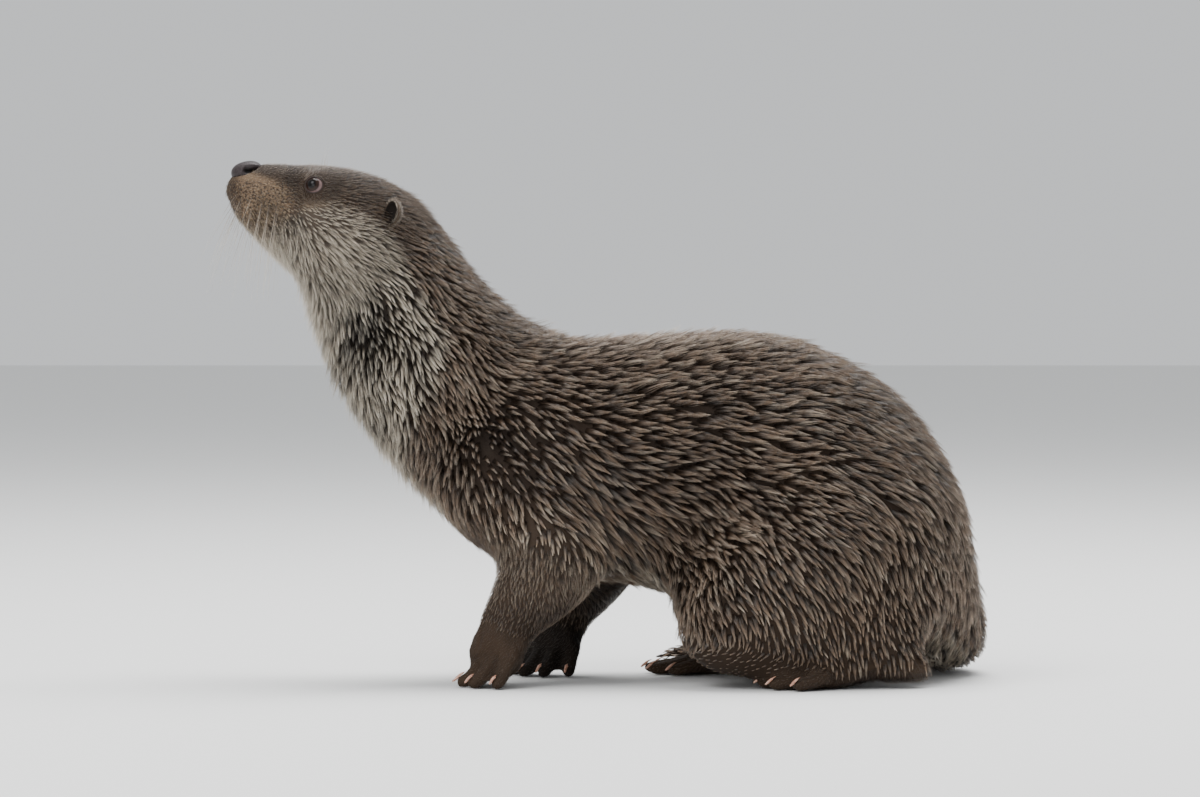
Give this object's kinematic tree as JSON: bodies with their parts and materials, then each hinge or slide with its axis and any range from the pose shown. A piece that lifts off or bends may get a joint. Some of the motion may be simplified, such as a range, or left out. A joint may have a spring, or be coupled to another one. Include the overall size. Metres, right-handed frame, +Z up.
{
  "type": "eurasian river otter",
  "caption": "Life-size river otter crouching on its hind legs with forelegs braced, neck raised, snout lifted, and tail curled round on the ground.",
  "frame": {"origin": "middle of the bottom of the whole animal's bounding box, on the floor it stands on", "axes": "-X towards the nose, +X towards the rump, +Y towards the animal's right side where the tail lies, +Z up"},
  "size_m": [0.5074, 0.3162, 0.3431],
  "materials": {
    "coat": "wet dark brown fur in pointed locks",
    "throat": "wet pale grey-buff fur",
    "paw": "short sleek brown fur",
    "nose_leather": "damp pebbled skin",
    "eye": "wet and glossy",
    "claw": "smooth horn, pinkish ivory"
  },
  "bodies": {
    "root": {"head": "coat", "nose": "nose_leather", "left_eye": "eye", "right_eye": "eye", "left_ear": "coat", "right_ear": "coat", "neck": "throat", "trunk": "coat", "tail_base": "coat", "tail_middle": "coat", "tail_tip": "coat", "left_foreleg": "coat", "right_foreleg": "coat", "left_hind_leg": "coat", "right_hind_leg": "coat", "left_forepaw": "paw", "right_forepaw": "paw", "left_hind_foot": "paw", "right_hind_foot": "paw", "left_forepaw_claw_1": "claw", "left_forepaw_claw_2": "claw", "left_forepaw_claw_3": "claw", "left_forepaw_claw_4": "claw", "left_forepaw_claw_5": "claw", "right_forepaw_claw_1": "claw", "right_forepaw_claw_2": "claw", "right_forepaw_claw_3": "claw", "right_forepaw_claw_4": "claw", "right_forepaw_claw_5": "claw", "left_hind_foot_claw_1": "claw", "left_hind_foot_claw_2": "claw", "left_hind_foot_claw_3": "claw", "left_hind_foot_claw_4": "claw", "left_hind_foot_claw_5": "claw", "right_hind_foot_claw_1": "claw", "right_hind_foot_claw_2": "claw", "right_hind_foot_claw_3": "claw", "right_hind_foot_claw_4": "claw", "right_hind_foot_claw_5": "claw"}
  },
  "joints": []
}
